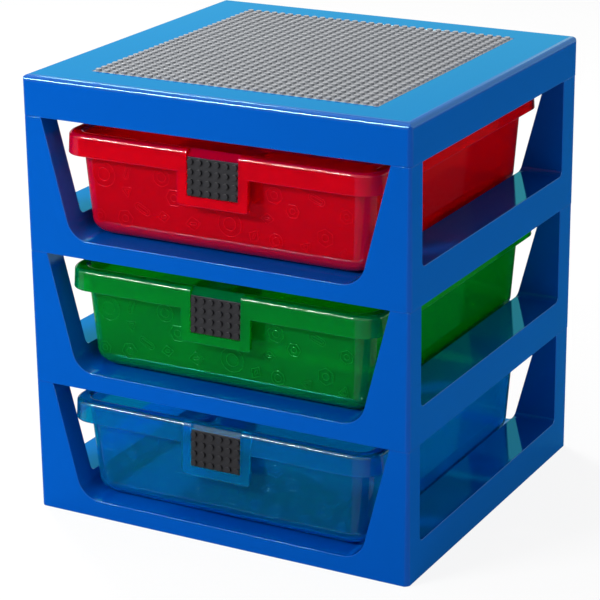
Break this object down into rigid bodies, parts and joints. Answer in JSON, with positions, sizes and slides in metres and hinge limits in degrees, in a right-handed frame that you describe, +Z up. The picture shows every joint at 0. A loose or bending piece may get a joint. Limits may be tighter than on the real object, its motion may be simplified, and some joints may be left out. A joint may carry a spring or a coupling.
{
  "type": "stacking storage drawer rack",
  "caption": "Storage rack of stacked trough-shaped tiers with translucent pull-out drawers, stud-plate handles and a stud baseplate on top.",
  "frame": {"origin": "centre of the rack's footprint, on the surface it stands on", "axes": "+X to the right seen from the front, -Y toward the front, where the drawers pull out, +Z up"},
  "size_m": [0.346, 0.3267, 0.3766],
  "materials": {
    "frame_plastic": "gloss",
    "baseplate_plastic": "satin",
    "handle_plate_plastic": "satin",
    "red_plastic": "gloss, translucent",
    "green_plastic": "gloss, translucent",
    "blue_plastic": "gloss, translucent"
  },
  "bodies": {
    "rack": {"top_cover": "frame_plastic", "stud_baseplate": "baseplate_plastic", "upper_tier": "frame_plastic", "middle_tier": "frame_plastic", "lower_tier": "frame_plastic"},
    "top_drawer": {"red_drawer": "red_plastic", "red_handle_plate": "handle_plate_plastic"},
    "middle_drawer": {"green_drawer": "green_plastic", "green_handle_plate": "handle_plate_plastic"},
    "bottom_drawer": {"blue_drawer": "blue_plastic", "blue_handle_plate": "handle_plate_plastic"}
  },
  "joints": [
    {"name": "top_drawer_slide", "type": "slide", "parent": "rack", "child": "top_drawer", "axis": [0, -1, 0], "range_m": [0, 0.24]},
    {"name": "middle_drawer_slide", "type": "slide", "parent": "rack", "child": "middle_drawer", "axis": [0, -1, 0], "range_m": [0, 0.24]},
    {"name": "bottom_drawer_slide", "type": "slide", "parent": "rack", "child": "bottom_drawer", "axis": [0, -1, 0], "range_m": [-0.0045, 0.2355]}
  ]
}
